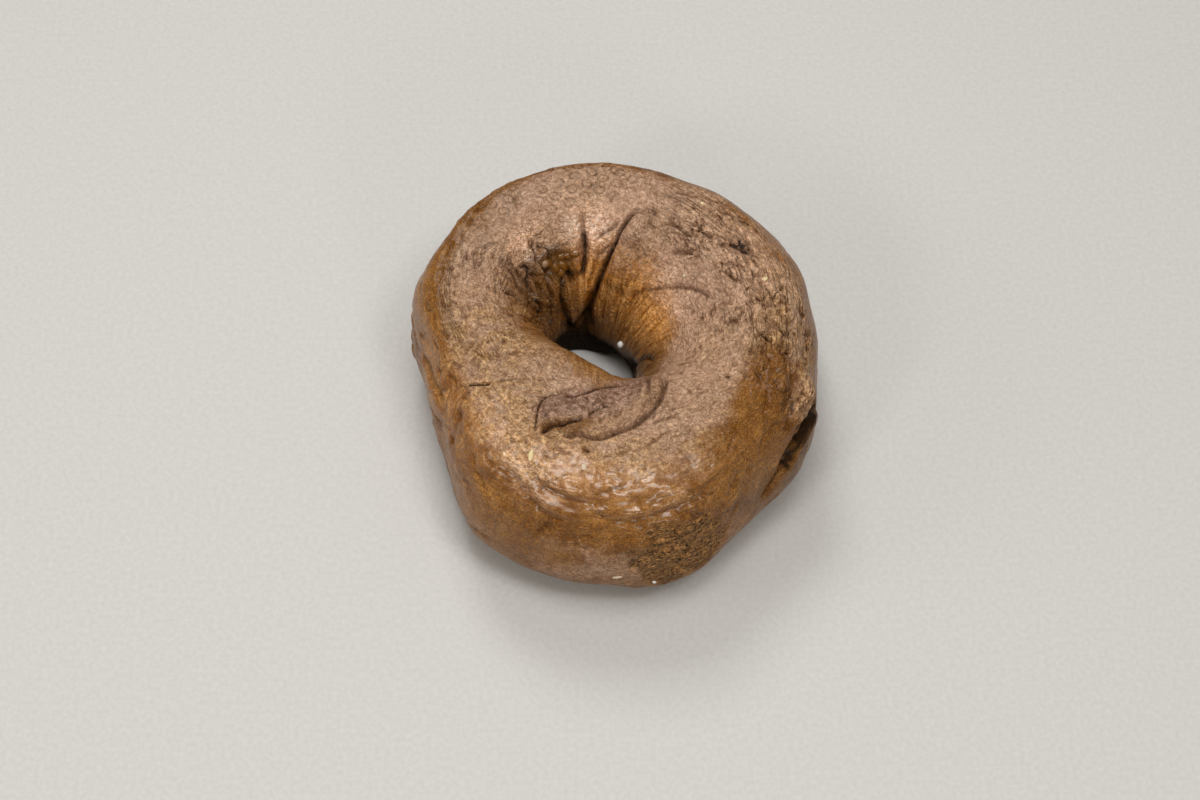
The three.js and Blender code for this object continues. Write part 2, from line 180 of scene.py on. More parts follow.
FOLDS = [
    Fold("lap seam", [(78, 113.6), (79.6, 119), (81, 126), (82.5, 133), (85, 142), (88, 150)],
         1.9, 0.55, 1.5, 3.0, 1, 0.85, 0.1, 0.4),
    Fold("lap seam low", [(81, 126), (82.8, 134), (85.5, 143.5), (89.5, 153), (94, 163), (99, 174),
         (103, 184), (104, 190)], 2.8, 1.0, 1.2, 3.2, 1, 0.95, 0.16, 0.3),
    Fold("lap seam top", [(66, 103.2), (69.5, 102.8), (72.4, 103.6), (76.1, 107.5), (78.4, 112.7),
         (79.7, 120.6), (80.6, 126.6)], 1.2, 0.45, 1.0, 2.4, 1, 0.8, 0.15, 0.3),
    Fold("lap upper line", [(66, 100.5), (71, 100.8), (75.5, 105), (77.5, 111), (78, 117),
         (78.3, 126)], 0.8, 0.45, 0.5, 1.6, 1, 0.8),
    Fold("lap lower branch", [(90, 155), (96, 164), (102.5, 172.5), (110, 178), (117, 182)],
         1.6, 0.7, 1.0, 2.4, -1, 0.9),
    Fold("tongue ridge line", [(99, 112), (100.1, 117), (100.3, 123), (100.5, 131.5),
         (100.3, 139)], 1.0, 0.5, 1.3, 2.0, -1, 0.34, 0.3),
    Fold("tongue hollow", [(100.4, 122), (100, 128), (99.8, 134), (100.5, 141.9), (102.6, 148.5),
         (106.5, 152)], 1.8, 0.9, 0.6, 2.0, -1, 1.0, 0.25),
    Fold("tongue left foot", [(108, 149.5), (114, 151), (117.5, 154.5), (120.5, 159), (121, 166),
         (119, 174), (116, 182), (113, 190)], 2.0, 0.8, 0.9, 2.4, 1, 0.95),
    Fold("tongue crease upper", [(94.9, 130.4), (90.6, 126.6), (85.1, 120.6), (81, 114)],
         0.8, 0.55, 0.4, 1.4, -1, 0.7, 0.25),
    Fold("tongue crease lower", [(93, 139), (88, 134.5), (82.5, 129.8), (79.5, 125)],
         0.9, 0.6, 0.5, 1.6, 1, 0.6, 0.25),
    Fold("tongue streak", [(98, 156), (95, 149), (92.5, 142), (91, 135)],
         0.5, 0.5, 0.3, 1.2, 1, 0.5, 0.3),
    Fold("tongue streak right", [(93, 156), (90, 149), (87.5, 142), (86, 137)],
         0.5, 0.5, 0.3, 1.2, -1, 0.5, 0.3),
    Fold("tuck round edge", [(248, 100.6), (244.6, 99.6), (242.1, 97.4), (240.3, 93.5),
         (239.9, 89), (240.6, 84), (241.8, 78), (243.4, 72.5)], 0.8, 0.36, 0.5, 2.2, 1, 0.85),
    Fold("tuck under groove", [(244.5, 76.5), (245.6, 77.4), (248.1, 81.7), (252, 84.7),
         (256.3, 87.7), (263.4, 91.1)], 1.9, 0.75, 0.8, 2.2, 1, 0.9, 0.12, 0.4),
    Fold("tuck notch", [(263.4, 89.6), (264, 94.1), (268.3, 99.1), (274.3, 104.2)],
         0.8, 0.4, 0.6, 2.0, 1, 0.75),
    Fold("tuck outer groove", [(252, 79), (255, 79.7), (259.3, 82.1), (265.7, 81.3), (269.8, 82.8),
         (274.9, 85.9), (280.7, 89.6), (287.1, 96), (293.4, 101.4), (298.3, 106.7), (304.5, 114.5),
         (309, 122), (313, 131)], 2.1, 0.75, 0.9, 2.4, 1, 0.72, 0.12, 0.4),
    Fold("tuck upper edge", [(245, 99.6), (249, 100.3), (255, 101.6), (259.9, 106.5),
         (263.6, 109.2), (270.4, 114.9), (279.9, 119.6), (286.3, 122.5), (292, 125)],
         0.7, 0.38, 0.5, 1.8, 1, 0.8, 0.2),
    Fold("tuck end crease", [(306, 132), (302.1, 126.6), (296.1, 114), (292.1, 107.9)],
         1.0, 0.55, 0.5, 1.6, -1, 0.7, 0.2),
    Fold("tuck mottle line", [(284, 98), (290, 103), (295.5, 109), (300, 116)],
         0.7, 0.5, 0.3, 1.2, 1, 0.5, 0.3),
    Fold("throat curl", [(366, 188), (362, 178), (356, 168), (349, 162.5), (342, 159)],
         0.9, 0.5, 0.3, 4.2, -1, 0.5, 0.35, 0.1),
    Fold("tuck basin edge", [(244.7, 75.4), (248.8, 75.4), (253.9, 75), (260.1, 77.4),
         (267.6, 79.7)], 0.5, 0.5, 0.4, 1.6, -1, 0.45, 0.2),
    Fold("tuck crack", [(250.1, 72.5), (252.6, 70.4), (255.2, 69.5), (258, 69.1)],
         0.8, 0.45, 0.3, 1.2, 1, 0.7, 0.2),
    Fold("tuck pit", [(260.4, 74.1), (262.3, 72.9), (264, 72.1)],
         1.0, 0.6, 0.2, 1.2, -1, 0.8, 0.3),
    Fold("dash", [(266.8, 70.4), (270.4, 72.1), (277.1, 75.8), (278.8, 76.6)],
         0.5, 0.4, 0.3, 1.0, -1, 0.5, 0.3),
    Fold("dash end", [(280.3, 77), (282, 77.4), (286.5, 79.7), (291.4, 83.6), (295.9, 87.4)],
         0.5, 0.4, 0.3, 1.0, -1, 0.5, 0.3),
    Fold("shoulder arc", [(64, 107), (58.5, 102), (52, 100.5), (48, 97)],
         1.0, 0.6, 0.6, 1.8, -1, 0.6, 0.2),
    Fold("shoulder dash", [(49, 94), (46, 93), (43.5, 92), (41, 91)],
         1.0, 0.55, 0.3, 1.2, 1, 0.8, 0.25),
    Fold("bubble arc", [(49, 116), (46, 113), (43, 109.5), (41.5, 105.5), (43.5, 102)],
         0.9, 0.55, 0.5, 1.8, 1, 0.6, 0.2),
    Fold("burnt crack", [(37.5, 84), (35.5, 82), (33.5, 79.5), (31, 78), (28.5, 76.5)],
         1.2, 0.9, 0.3, 1.2, 1, 1.0, 0.15),
    Fold("burnt leg", [(32.5, 76.5), (31, 73.5), (29.5, 71)], 0.9, 0.6, 0.3, 1.2, -1, 0.8, 0.2),
    Fold("gash", [(26, 97), (23.5, 95), (20.5, 93), (17, 91)], 0.9, 0.55, 0.5, 1.4, 1, 0.8, 0.25),
    Fold("inner wall fold", [(58.9, 150.9), (52.7, 146.3), (43.3, 138.9), (35.6, 131.5),
         (27.4, 123), (22.7, 117.2), (16.7, 111.8), (10.5, 106.3), (2.4, 99.1)],
         0.6, 0.34, 0.7, 1.8, 1, 0.5, 0.25, 0.1),
    Fold("right crack", [(353.5, 83), (352.3, 79), (351.5, 74), (350, 70)],
         1.0, 0.55, 0.4, 1.4, 1, 0.8, 0.25),
    Fold("side gap", [(350, 7), (346.5, 12), (343.5, 18), (339.5, 22.5), (335.5, 23.5),
         (331.5, 23.5), (327.5, 23), (324, 20), (321, 16)], 3.6, 1.3, 0.8, 3.2, 1, 1.0, 0.14),
    Fold("side crevice", [(324, 20), (320.5, 15), (317, 9), (313, 3)],
         1.4, 0.6, 0.8, 2.4, 1, 0.8, 0.2),
    Fold("side column", [(349, 58), (347.5, 55.5), (344, 53.5), (341, 52), (337, 50.5), (334, 49)],
         1.5, 0.7, 0.9, 2.2, -1, 0.9, 0.15),
    Fold("side lip", [(347, 20), (343, 27), (338, 30), (334, 29.5), (329, 34.5)],
         1.0, 0.7, 0.9, 2.2, -1, 0.7, 0.2),
    Fold("side crease", [(350, 60), (346, 56.5), (343, 54.5), (339.5, 51), (335, 47), (330, 41),
         (326, 38)], 1.2, 0.8, 1.0, 2.6, -1, 0.6, 0.16),
    Fold("front ridge", [(234.5, 57), (236.6, 53.4), (239.5, 52.8), (242.1, 52), (245.5, 49),
         (249.6, 44.6), (253.5, 41), (259, 39.5), (265, 40)], -1.0, 0.9, 0.0, 2.0, -1, 0.0, 0.15),
    Fold("front ridge shade", [(236.5, 50), (240, 49.5), (244, 46), (248, 41.5), (252, 38),
         (258, 36.5)], 0.8, 0.7, 0.0, 2.0, -1, 0.55, 0.2),
    Fold("front second ridge", [(243, 60), (246, 56), (251, 52), (258, 49.5), (266, 49)],
         -0.8, 0.8, 0.0, 1.5, 1, 0.0, 0.25),
    Fold("front second shade", [(244, 57), (248, 52.5), (254, 48.5), (261, 46.5), (268, 46.5)],
         0.6, 0.6, 0.0, 1.5, 1, 0.6, 0.25),
    Fold("front third ridge", [(262, 45), (269, 42.5), (277, 43.5), (285, 46), (293, 48.5)],
         -0.9, 0.8, 0.0, 1.5, 1, 0.0, 0.25),
    Fold("front third shade", [(264, 42.5), (270, 39.5), (278, 40.5), (287, 43.5), (294, 46)],
         0.6, 0.6, 0.0, 1.5, 1, 0.45, 0.25),
    Fold("front short ridge", [(249, 39), (252, 37.5), (255.5, 36)],
         -0.45, 0.6, 0.0, 1.5, 1, 0.0, 0.3),
    Fold("dimple", [(254, 34.5), (252, 30), (250.5, 26), (250, 21)],
         0.9, 0.7, 0.4, 1.8, 1, 0.7, 0.25),
    Fold("round dimple", [(266, 25), (265, 28.5), (262, 29), (260, 26), (260.5, 22.5),
         (263.5, 21.5), (266, 24)], 0.5, 0.5, 0.3, 1.2, 1, 0.5, 0.3),
    Fold("left crack", [(207, 65), (210, 73), (213, 80), (215, 85)],
         0.8, 0.4, 0.3, 1.2, 1, 1.0, 0.2),
    Fold("left faint crack", [(215, 86), (220, 95), (228, 103)],
         0.4, 0.35, 0.2, 1.2, 1, 0.65, 0.3),
    Fold("left ridge line", [(176, 19), (183, 25), (190, 29.5), (197, 33.5), (205, 34)],
         0.9, 0.9, 0.9, 2.2, -1, 0.35, 0.2),
    Fold("back long fold", [(150, 2), (138, 8), (124, 12), (110, 11), (97, 14), (86, 20),
         (76, 22)], 1.2, 0.8, 0.5, 3.0, 1, 0.55, 0.25),
    Fold("back low fold", [(120, -8), (106, -4), (92, -6), (78, 0), (66, -2)],
         1.0, 0.8, 0.4, 2.6, -1, 0.5, 0.25),
    Fold("back right fold", [(60, 24), (50, 18), (41, 14), (32, 10), (24, 12)],
         1.1, 0.8, 0.5, 2.6, 1, 0.55, 0.25),
    Fold("back short fold", [(143, 24), (134, 26), (126, 24), (119, 26)],
         0.8, 0.6, 0.4, 2.0, -1, 0.5, 0.3),
    Fold("left low crease", [(186, 4), (196, 9), (205, 13), (213, 12), (220, 6)],
         1.2, 1.1, 0.5, 2.4, 1, 0.5, 0.2),
]
STEPS_PER_SPAN = 5
# The most that is kept of how far a point is off a fold's middle, in half widths.
FARTHEST_OFF = 5.0
# A fold is faded out at this many times its half width or its lip's reach.  Its shade is
# whole up to so many half widths, but at least 1 mm, and gone at twice that.
FADED_REACHES = 3
SHADED_WIDTHS = 1.3

# Round hollows (rise below 0) and knobs: place as (bearing, section angle); dark is how deep the
# shade painted in and around each is.
Spot = namedtuple("Spot", "name place reach rise dark")
SPOTS = [
    Spot("seam cavity", (100, 176), 2.8, -2.4, 1.0),
    Spot("dark pit", (111, 150), 1.5, -1.6, 1.0),
    Spot("dark pit left", (125.3, 142.5), 1.0, -1.2, 0.9),
    Spot("dark pit far left", (130, 134), 1.0, -1.0, 0.8),
    Spot("small pit", (125.6, 143.8), 0.9, -1.2, 1.0),
    Spot("hole side pit", (153.6, 154.9), 1.5, -1.8, 1.0),
    Spot("throat nook", (19, 194), 2.6, -1.4, 1.0),
    Spot("throat nook right", (7, 188), 2.4, -1.4, 1.0),
    Spot("side knob", (341.5, 38), 3.6, 1.3, 0.0),
    Spot("shoulder hollow", (0.5, 56.5), 1.8, -1.0, 0.7),
    Spot("crest pit", (358.3, 97.3), 0.9, -0.7, 0.8),
    Spot("front crest pit", (328.9, 93.4), 0.6, -0.7, 0.9),
    Spot("front side pit", (310.1, 36.8), 0.6, -0.8, 1.0),
    Spot("front pit", (255.8, 57.9), 0.5, -0.7, 0.9),
    Spot("left pinhole", (214.5, 29.1), 0.9, -1.3, 1.0),
    Spot("left shaded hollow", (213, 43), 2.6, -0.9, 0.5),
    Spot("left hollow", (205, 52), 7.0, -1.3, 0.0),
    Spot("left pinch", (204, 14), 7.0, -1.6, 0.0),
    Spot("tuck ochre hollow", (254, 81), 1.8, -0.7, 0.3),
    Spot("tuck basin", (288, 91), 2.2, -0.5, 0.25),
    Spot("lower roll", (327, 4), 6.0, 1.2, 0.0),
    Spot("rim dip", (286, 126), 6.0, -1.3, 0.0),
    Spot("rim rise", (249, 133), 6.0, 0.5, 0.0),
    Spot("left top pit", (192.7, 92.3), 0.9, -0.6, 0.6),
    Spot("left shade pit", (212.1, 43.5), 1.2, -0.7, 0.7),
]
# The hollow that the beads lie in, as (bearing, section angle) and its half sizes in degrees.
CRATER_PLACE = (117.5, 143)
CRATER_HALVES = np.array([10.5, 9])
CRATER_DEPTH = 2.0
CRATER_RIM = 0.5
CRATER_RIM_REACH = 4

# Bands of colour: the line down the middle of each, and its half width in mm.
BANDS = {
    "leaf": ([(243.5, 88), (249, 94.5), (257, 99), (266, 102.5), (278, 111), (290, 120),
              (300, 130)], 3.4),
    "ochre": ([(246, 79), (250, 82.5), (256, 85), (262, 87)], 1.5),
    "tan": ([(262, 86), (271.9, 89.6), (280.1, 96.4), (289.9, 104.2), (298.7, 112.7),
             (306.2, 124)], 1.8),
}
# The gap on the right where the dough overlaps, painted near black as its shade: all of it, and
# its wider middle.
GAP_LINE = [(348, 7), (344, 13.5), (340, 18), (336, 20.3), (331.5, 20.3), (327, 19), (323.5, 16.3)]
GAP_MIDDLE = slice(1, 5)
GAP_WIDTH = 0.7
GAP_MIDDLE_WIDTH = 1.35

# Soft-edged regions: the patches that each is the sum of, as place and half sizes in
# degrees, softness and strength.
REGIONS = {
    "wrinkled": [((25, 80), (42, 34), 0.35, 1), ((352, 52), (26, 30), 0.35, 1),
                 ((60, 112), (16, 16), 0.35, 0.2), ((175, 100), (30, 30), 0.35, 0.5)],
    "crumpled": [((152, 145), (32, 24), 0.3, 1), ((54, 134), (22, 18), 0.4, 0.18),
                 ((127, 131), (12, 9), 0.4, 0.8)],
    "streaked": [((268, 52), (40, 14), 0.6, 1)],
    "burnt": [((33, 78), (5, 5), 0.6, 1)],
    "crater": [(CRATER_PLACE, CRATER_HALVES, 0.45, 1)],
    # Patches where a whitish sheen is painted into the colour.
    "frosty": [((92, 122), (8, 8), 0.5, 1), ((131, 131), (7, 6), 0.5, 1),
               ((120, 133), (6, 4), 0.5, 1), ((106, 123), (5, 6), 0.5, 1)],
    "prints": [((108, 84), (34, 30), 0.4, 1), ((12, 104), (14, 12), 0.5, 0.7),
               ((335, 92), (18, 14), 0.6, 0.5), ((280, 66), (22, 8), 0.6, 0.4)],
    "tanned": [((203, 88), (34, 44), 0.6, 1), ((262, 64), (46, 20), 0.6, 1),
               ((330, 85), (30, 30), 0.6, 0.3), ((20, 62), (50, 22), 0.6, 0.4),
               ((350, 52), (24, 26), 0.6, 0.7)],
}
# How far the edges of the wall, the top and the foot wander, in degrees for each unit of noise.
EDGE_WANDER = 7
FOOT_EDGE_WANDER = 5

# Painted light and shade on parts of the crust, mixed with its own lighter (above 0) and darker
# (below 0) tone: place, half sizes in degrees.
TONE_AND_LIGHT_PATCHES = [
    ((152, 148), (22, 18), -0.38), ((128, 92), (20, 16), -0.1), ((262, 22), (44, 14), -0.1),
    ((131, 122), (11, 9), 0.7), ((95, 138), (13, 24), 0.9), ((345, 118), (22, 14), 0.12),
    ((40, 146), (30, 20), 0.8), ((10, 155), (22, 18), 0.3), ((300, 62), (26, 14), -0.1),
    ((240, 25), (50, 18), 0.1), ((255, 60), (40, 12), 0.2), ((30, 70), (30, 26), 0.32),
    ((318, 45), (22, 20), -0.02), ((196, 38), (30, 24), 0.22), ((0, 45), (18, 22), 0.05),
    ((352, 62), (26, 22), -0.08), ((330, 8), (18, 12), -0.32), ((341, 38), (9, 12), 0.3),
    ((352, 169), (9, 9), -0.35),
]
TONE_SOFTNESS = 0.7

# How strewn folds vary: the spread of their heading in radians, how far they wander as a
# share of their length, then the least and most of their length, strength and half width.
# The section's radius turns mm into degrees.
HEADING_SPREAD = 0.4
WANDER_SHARE = 0.07
LENGTH_SHARES = (0.5, 1.3)
STRENGTHS = (0.5, 1.2)
HALF_WIDTHS = (0.35, 0.6)
SECTION_RADIUS = 21


def strewn(name, middle, halves, count, length, heading, radius, depth, dark, seed):
    """Short winding folds strewn over part of the skin.

    middle and halves bound them in degrees; length, radius of the ring there and depth
    are in mm; heading is 0 along the ring and a quarter turn down its section.
    """
    draw = np.random.default_rng(seed)
    folds = []
    for _ in range(count):
        start = np.array(middle) + np.array(halves) * draw.uniform(-1, 1, 2)
        turned = heading + draw.normal(0, HEADING_SPREAD)
        steps = np.linspace(-0.5, 0.5, 5) * length * draw.uniform(*LENGTH_SHARES)
        wander = draw.normal(0, WANDER_SHARE, 5) * length
        along = steps * np.cos(turned) - wander * np.sin(turned)
        down = steps * np.sin(turned) + wander * np.cos(turned)
        stations = start + np.degrees(np.stack([along / radius, down / SECTION_RADIUS], -1))
        strength = draw.uniform(*STRENGTHS)
        folds.append(Fold(name, stations.tolist(), depth * strength, draw.uniform(*HALF_WIDTHS),
                          0.5 * abs(depth), 1.3, draw.choice([-1, 1]), dark * strength, 0.3))
    return folds


WRINKLES = []
for seed, row in enumerate([
        ("upper right wrinkle", (32, 86), (34, 26), 44, 7, 0.1, 38, 0.35, 0.58),
        ("right wrinkle", (353, 56), (20, 22), 34, 7, 0.0, 46, 0.55, 0.68),
        ("left wall crumple", (155, 148), (26, 15), 34, 5, 1.5, 20, 0.9, 0.85),
        ("right wall crumple", (50, 137), (20, 14), 20, 7, 1.2, 22, 0.35, 0.36),
        ("left crease", (185, 88), (40, 36), 60, 4, 0.8, 34, 0.3, 0.6),
        ("front ridge", (264, 52), (36, 13), 30, 9, 0.0, 46, -0.4, 0.0),
        ("front crease", (264, 52), (36, 16), 26, 8, 0.0, 46, 0.4, 0.6),
        ("leaf crease", (262, 101), (16, 8), 22, 3, 0.6, 25, 0.3, 0.64),
        ("tuck ridge crease", (283, 96), (16, 7), 16, 4, 0.7, 22, 0.3, 0.6),
        ("left side crease", (195, 40), (34, 28), 26, 6, 0.5, 46, 0.4, 0.58),
        ("back crease", (120, 85), (34, 30), 40, 3, 0.3, 38, 0.25, 0.6),
        ("right flank crease", (320, 35), (24, 26), 26, 9, 0.2, 48, 0.3, 0.55),
        ("right top crease", (345, 105), (34, 24), 34, 3, 0.6, 28, 0.25, 0.6),
        ("back side crease", (105, 6), (70, 22), 60, 9, 0.15, 50, 0.36, 0.56),
        ("back side ridge", (100, 4), (60, 20), 26, 13, 0.0, 50, -0.3, 0.0),
        ("back foot crease", (100, 350), (80, 16), 40, 8, 0.1, 48, 0.3, 0.5),
        ("front foot crease", (280, 346), (70, 14), 30, 8, 0.1, 48, 0.3, 0.5),
        ("right foot crease", (8, 352), (32, 18), 26, 8, 0.1, 50, 0.3, 0.5),
        ("left foot crease", (190, 348), (26, 16), 22, 7, 0.1, 48, 0.3, 0.5),
], 1):
    WRINKLES += strewn(*row, seed)


def smooth_path(stations):
    """Catmull-Rom curve through the stations, with its end tangents carried straight on."""
    p = np.asarray(stations, float)
    p = np.vstack([2 * p[0] - p[1], p, 2 * p[-1] - p[-2]])
    t = np.linspace(0, 1, STEPS_PER_SPAN, endpoint=False)[:, None]
    spans = [catmull_rom(*four, t) for four in zip(p[:-3], p[1:-2], p[2:-1], p[3:])]
    return np.vstack(spans + [p[-2][None]])


def on_ring(stations):
    """Points of the plain ring at stations given in degrees."""
    places = np.radians(np.atleast_2d(stations))
    return plain_ring(places[:, 0], places[:, 1])


def measure_path(path, points, normals, limit):
    """For the points within limit of a path: which they are, how far off, the share
    along it of the nearest place, the side (1 left, -1 right) and the way to it."""
    near = np.flatnonzero(((points > path.min(0) - limit) & (points < path.max(0) + limit)).all(1))
    p = points[near]
    n = normals[near]
    best = np.full(len(p), 1e9)
    share = np.zeros(len(p))
    side = np.zeros(len(p))
    toward = np.zeros((len(p), 3))
    spans = len(path) - 1
    for index in range(spans):
        start = path[index]
        along = path[index + 1] - start
        t = np.clip(((p - start) @ along) / (along @ along), 0, 1)
        off = p - start - t[:, None] * along
        distance = np.linalg.norm(off, axis=1)
        closer = distance < best
        best = np.where(closer, distance, best)
        share = np.where(closer, (index + t) / spans, share)
        side = np.where(closer, np.sign((off * np.cross(n, along)).sum(1)), side)
        toward[closer] = -off[closer]
    return near, best, share, side, toward


def darken(skin, near, shade, off):
    """Where shade is the deepest so far, keeps it and how far off the line's middle each
    point is, with its side's sign, so that the line stays sharp between the points."""
    deeper = shade > skin["crease"][near]
    chosen = near[deeper]
    skin["crease"][chosen] = shade[deeper]
    skin["off"][chosen] = np.clip(off[deeper], -FARTHEST_OFF, FARTHEST_OFF)


def fold_into(skin, fold):
    """Adds one fold to the skin's rise, shift and shade.

    The groove is depth e^-(d/w)^2 for distance d and half width w.  The lip is
    rise (d/r) e^(1 - d/r) on its own side, and leans over the groove by pull.
    """
    path = on_ring(smooth_path(fold.stations))
    w = fold.half_width
    limit = FADED_REACHES * max(w, fold.reach)
    near, d, share, side, toward = measure_path(path, skin["plain"], skin["normal"], limit)
    fade = smooth(0, fold.ends, np.minimum(share, 1 - share))
    own_side = side * fold.side > 0
    groove = -fold.depth * np.exp(-(d / w) ** 2)
    lip = np.where(own_side, fold.rise * d / fold.reach * np.exp(1 - d / fold.reach), 0)
    skin["rise"][near] += fade * (groove + lip)
    shade = fold.dark * np.clip(2 - d / max(1.0, SHADED_WIDTHS * w), 0, 1)
    darken(skin, near, fade * shade, side * d / w)
    lean = np.where(own_side, np.exp(-((d - w) / w) ** 2), 0) * fade * fold.pull * w
    skin["shift"][near] += unit(toward) * lean[:, None]


# ---- Uneven patterns --------------------------------------------------------------

def scramble(x, y, z, seed):
    """A number from -1 to 1 for each whole-number place, by mixing its bits."""
    h = (x.astype(np.uint32) * np.uint32(73856093)) ^ (y.astype(np.uint32) * np.uint32(19349663))
    h = h ^ (z.astype(np.uint32) * np.uint32(83492791)) ^ np.uint32(seed * 2654435761 % 2 ** 32)
    h ^= h >> np.uint32(13)
    h *= np.uint32(1274126177)
    h ^= h >> np.uint32(16)
    return h.astype(np.float64) / 2 ** 31 - 1


# Keeps the corners' numbers above 0, and the origin off a corner.
NOISE_SHIFT = 1000.5


def lattice_noise(points, pitch, seed):
    """Noise from -1 to 1: scrambled values at lattice corners, pitch apart, blended."""
    q = points / pitch + NOISE_SHIFT
    cell = np.floor(q).astype(np.int64)
    f = q - cell
    f = f * f * (3 - 2 * f)
    total = 0
    for corner in np.ndindex(2, 2, 2):
        weight = np.abs(1 - np.array(corner) - f).prod(1)
        total = total + weight * scramble(*(cell + corner).T, seed)
    return total


def winding_lines(points, pitch, width, seed):
    """1 on thin winding lines, where lattice noise crosses 0, falling off over width."""
    return np.exp(-(lattice_noise(points, pitch, seed) / width) ** 2)


def slow_waves(points, pitch):
    """The CAD solid's low lumps: sin x sin y, each phase bent by the height."""
    pace = TURN / pitch
    return np.sin(points[:, 0] * pace + 2 * np.sin(points[:, 2] * pace * 0.6)) \
        * np.sin(points[:, 1] * pace * 0.9 + points[:, 2] * pace * 0.8)


def patch(skin, place, halves, softness=0.35):
    """1 within an ellipse of bearing and section angle, in degrees, softly 0 outside."""
    off, down = ((skin[key] - middle + 180) % 360 - 180
                 for key, middle in zip(("bearing", "angle"), place))
    return 1 - smooth(1 - softness, 1 + softness, np.hypot(off / halves[0], down / halves[1]))


def band(skin, stations, width, softness=0.4):
    """1 within width, in mm, of a line through the stations, softly 0 farther off."""
    path = on_ring(smooth_path(stations))
    near, distance = measure_path(path, skin["plain"], skin["normal"], 2 * width)[:2]
    share = np.zeros(len(skin["plain"]))
    ragged = 0.3 * lattice_noise(skin["plain"][near], 1.8, 61)
    share[near] = 1 - smooth(1 - softness, 1 + softness, distance / width + ragged)
    return share


# ---- The skin ---------------------------------------------------------------------

def skin_grid():
    """The skin's grid places and the plain ring's points and normals at them."""
    ring = np.arange(RING_STEPS) / RING_STEPS * TURN
    even = np.arange(SECTION_STEPS) / SECTION_STEPS * TURN - TURN / 4
    section = even + CREST_CROWDING * np.cos(even)
    bearing, angle = (a.ravel() for a in np.meshgrid(ring, section, indexing="ij"))
    count = len(bearing)
    return {
        "theta": bearing, "psi": angle,
        "bearing": np.degrees(bearing), "angle": np.degrees(angle) % 360,
        "plain": plain_ring(bearing, angle), "normal": outward(bearing, angle),
        "rise": np.zeros(count), "shift": np.zeros((count, 3)),
        "crease": np.zeros(count), "off": np.full(count, FARTHEST_OFF),
    }


def flow_places(skin):
    """A place for patterns that run with the dough: round the ring and down its section,
    in mm, so that stretching the last number draws streaks down the walls."""
    around = 34.0
    down = 22.0
    return np.stack([around * np.cos(skin["theta"]), around * np.sin(skin["theta"]),
                     down * skin["psi"]], -1)


def mark_regions(skin):
    """Masks from 0 to 1 of the crust's regions, for relief, for colour and for painted light and
    shade.
    """
    plain = skin["plain"]
    angle = skin["angle"]
    for name, patches in REGIONS.items():
        skin[name] = np.clip(sum(strength * patch(skin, place, halves, softness)
                                 for place, halves, softness, strength in patches), 0, 1)
    for name, (line, width) in BANDS.items():
        skin[name] = band(skin, line, width)
    # The gap band, painted near black as shade in the colour.
    skin["gap"] = np.maximum(band(skin, GAP_LINE, GAP_WIDTH),
                             band(skin, GAP_LINE[GAP_MIDDLE], GAP_MIDDLE_WIDTH))
    # Painted light and shade, with some of the crust's own tone, as a gain on its colour.
    skin["lit"] = np.ones(len(plain))
    for place, halves, gain in TONE_AND_LIGHT_PATCHES:
        skin["lit"] *= 1 + gain * patch(skin, place, halves, TONE_SOFTNESS)

    # The wall of the hole, its amber with a spot on the left, and the underside of the throat,
    # painted near black as shade.
    uneven = lattice_noise(plain, 9, 31) + 0.5 * lattice_noise(plain, 3.5, 32)
    past_start = angle - around_ring(WALL_STARTS, skin["theta"]) + EDGE_WANDER * uneven
    hole_wall = smooth(-20, 18, past_start) * (1 - smooth(262, 268, angle))
    skin["hole_wall"] = hole_wall
    skin["amber"] = np.clip(hole_wall + patch(skin, (205, 50), (16, 20), 0.6), 0, 1)
    skin["under"] = smooth(0, 20, angle - around_ring(SHADED_UNDER_STARTS, skin["theta"])) \
        * (1 - smooth(228, 242, angle))

    # The torn patch, with a ragged edge.
    ragged = lattice_noise(plain, 5, 11) * 0.2 + lattice_noise(plain, 2, 12) * 0.1
    from_middle = (plain - on_ring(TORN_PLACE)[0]) / np.array(TORN_HALVES)
    skin["torn"] = 1 - smooth(0.8, 1.02, np.linalg.norm(from_middle, axis=1) + ragged)

    # The dusty colour of the pressed top, less on the right, and some of it elsewhere.
    top_end = around_ring(TOP_ENDS, skin["theta"]) + EDGE_WANDER * uneven
    pressed = smooth(-20, 12, angle - top_end) * (1 - smooth(150, 200, angle)) * (1 - hole_wall)
    pressed *= 1 - 0.8 * patch(skin, (337, 70), (15, 17), 0.5)
    back = patch(skin, (95, 14), (60, 14), 0.8) * smooth(-0.7, 0.8, uneven)
    front = patch(skin, (246, 4), (56, 19), 0.6) * smooth(-0.9, 0.6, uneven)
    knob = patch(skin, (342, 38), (10, 11), 0.5)
    foot_angle = angle + FOOT_EDGE_WANDER * uneven
    foot = smooth(236, 250, foot_angle) * (1 - smooth(292, 306, foot_angle))
    skin["pressed"] = np.max([pressed, 0.6 * front, 0.55 * back, 0.75 * knob, 0.5 * foot], 0)


# Widths of thin lines, in units of the noise whose zero they follow.
WINDING_WIDTH = 0.2
CREASE_WIDTH = 0.16


